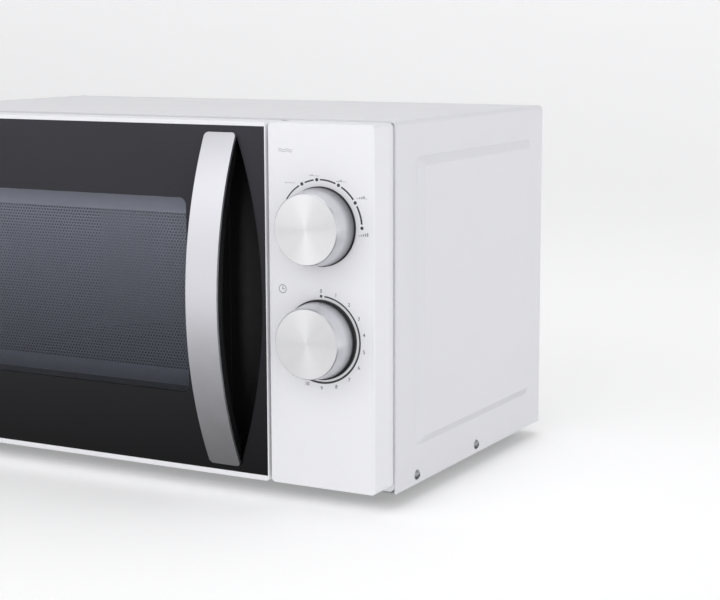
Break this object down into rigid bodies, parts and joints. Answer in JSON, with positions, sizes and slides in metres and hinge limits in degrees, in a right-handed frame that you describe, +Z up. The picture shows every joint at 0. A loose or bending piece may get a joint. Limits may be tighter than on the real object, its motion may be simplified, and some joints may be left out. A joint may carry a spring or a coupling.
{
  "type": "microwave oven",
  "caption": "Compact countertop microwave oven: side-hinged windowed door with bowed handle, turning dials, glass turntable and internal power parts.",
  "frame": {"origin": "middle of the bounding box's footprint, on the surface the feet stand on", "axes": "+X to the right seen from the front, +Y to the back, +Z up; the door and dials face -Y"},
  "size_m": [0.4466, 0.306, 0.258],
  "materials": {
    "white_paint": "satin",
    "white_plastic": "satin",
    "black_gloss": "gloss",
    "smoked_glass": "gloss",
    "screen_steel": "satin",
    "grey_plastic": "matte",
    "black_plastic": "matte",
    "satin_silver": "satin",
    "brushed_aluminium": "brushed",
    "zinc_steel": "satin",
    "cavity_enamel": "satin",
    "mica": "matte",
    "clear_glass": "gloss",
    "copper_wire": "satin",
    "core_steel": "matte",
    "board_green": "satin",
    "white_moulding": "matte",
    "rubber_grey": "matte"
  },
  "bodies": {
    "root": {"back_plate": "zinc_steel", "base_plate": "zinc_steel", "cabinet_wrap": "white_paint", "capacitor_clamp": "zinc_steel", "casing_screws": "zinc_steel", "cavity_shell": "cavity_enamel", "control_panel": "white_plastic", "cord_gland": "black_plastic", "door_switches": "black_plastic", "fan_motor": "core_steel", "fan_shroud": "zinc_steel", "feet": "rubber_grey", "front_frame": "white_paint", "hv_capacitor": "brushed_aluminium", "hv_diode": "black_plastic", "lamp_holder": "white_moulding", "latch_board": "white_moulding", "lower_hinge": "zinc_steel", "magnetron_antenna": "copper_wire", "magnetron_filter_box": "zinc_steel", "magnetron_fins": "brushed_aluminium", "magnetron_yoke": "zinc_steel", "noise_filter_board": "board_green", "oven_lamp": "clear_glass", "power_selector": "zinc_steel", "thermal_cutout": "black_plastic", "timer_unit": "zinc_steel", "transformer_core": "core_steel", "transformer_windings": "copper_wire", "turntable_motor": "zinc_steel", "upper_hinge": "zinc_steel", "waveguide": "zinc_steel", "waveguide_cover": "mica"},
    "door": {"door_frame": "white_plastic", "door_front_panel": "black_gloss", "door_window": "smoked_glass", "door_screen": "screen_steel", "door_choke_cover": "grey_plastic", "handle_cup": "black_plastic", "handle_core": "black_plastic", "handle_strip": "satin_silver", "handle_screws": "zinc_steel", "latch_spring": "zinc_steel"},
    "latch": {"latch_hooks": "white_moulding"},
    "coupler": {"turntable_coupler": "white_moulding"},
    "tray": {"glass_tray": "clear_glass"},
    "ring": {"roller_ring": "white_moulding"},
    "roller_1": {"tray_roller_1": "white_moulding"},
    "roller_2": {"tray_roller_2": "white_moulding"},
    "roller_3": {"tray_roller_3": "white_moulding"},
    "fan": {"fan_blade": "black_plastic"},
    "timer_dial": {"timer_knob": "satin_silver", "timer_knob_cap": "brushed_aluminium", "timer_shaft": "zinc_steel"},
    "power_dial": {"power_knob": "satin_silver", "power_knob_cap": "brushed_aluminium", "power_shaft": "zinc_steel"},
    "primary_button": {"primary_switch_button": "white_moulding"},
    "secondary_button": {"secondary_switch_button": "white_moulding"},
    "monitor_button": {"monitor_switch_button": "white_moulding"}
  },
  "joints": [
    {"name": "door_hinge", "type": "hinge", "parent": "root", "child": "door", "pos_m": [-0.211, -0.108, 0.136], "axis": [0, 0, -1], "range_deg": [0, 95]},
    {"name": "latch_lift", "type": "slide", "parent": "door", "child": "latch", "axis": [0, 0, 1], "range_m": [0, 0.0035], "stiffness_N_per_m": 300, "springref_m": -0.004, "deforming": ["latch_spring"]},
    {"name": "turntable_spin", "type": "hinge", "parent": "root", "child": "coupler", "pos_m": [-0.048, 0.021, 0.045], "axis": [0, 0, 1], "continuous": true},
    {"name": "tray_lift", "type": "slide", "parent": "coupler", "child": "tray", "axis": [0, 0, 1], "range_m": [0, 0.012]},
    {"name": "roller_ring_spin", "type": "hinge", "parent": "root", "child": "ring", "pos_m": [-0.048, 0.021, 0.0481], "axis": [0, 0, 1], "continuous": true},
    {"name": "fan_spin", "type": "hinge", "parent": "root", "child": "fan", "pos_m": [0.163, 0.117, 0.19], "axis": [0, 1, 0], "continuous": true},
    {"name": "timer_turn", "type": "hinge", "parent": "root", "child": "timer_dial", "pos_m": [0.1785, -0.125, 0.1164], "axis": [0, 1, 0], "range_deg": [0, 280]},
    {"name": "power_turn", "type": "hinge", "parent": "root", "child": "power_dial", "pos_m": [0.1785, -0.125, 0.1906], "axis": [0, 1, 0], "range_deg": [0, 180]},
    {"name": "roller_1_spin", "type": "hinge", "parent": "ring", "child": "roller_1", "pos_m": [-0.048, 0.1082, 0.0481], "axis": [0, 1, 0], "continuous": true},
    {"name": "roller_2_spin", "type": "hinge", "parent": "ring", "child": "roller_2", "pos_m": [-0.12352, -0.0226, 0.0481], "axis": [-0.866, -0.5, 0], "continuous": true},
    {"name": "roller_3_spin", "type": "hinge", "parent": "ring", "child": "roller_3", "pos_m": [0.02752, -0.0226, 0.0481], "axis": [0.866, -0.5, 0], "continuous": true},
    {"name": "primary_press", "type": "slide", "parent": "root", "child": "primary_button", "axis": [0, 1, 0], "range_m": [0, 0.0008], "stiffness_N_per_m": 400},
    {"name": "secondary_press", "type": "slide", "parent": "root", "child": "secondary_button", "axis": [0, 1, 0], "range_m": [0, 0.0008], "stiffness_N_per_m": 400},
    {"name": "monitor_press", "type": "slide", "parent": "root", "child": "monitor_button", "axis": [0, 1, 0], "range_m": [0, 0.0008], "stiffness_N_per_m": 400}
  ],
  "couplings": [
    {"joint": "roller_ring_spin", "follows": "turntable_spin", "ratio": 0.5},
    {"joint": "roller_1_spin", "follows": "turntable_spin", "ratio": -5.5897},
    {"joint": "roller_2_spin", "follows": "turntable_spin", "ratio": -5.5897},
    {"joint": "roller_3_spin", "follows": "turntable_spin", "ratio": -5.5897}
  ]
}
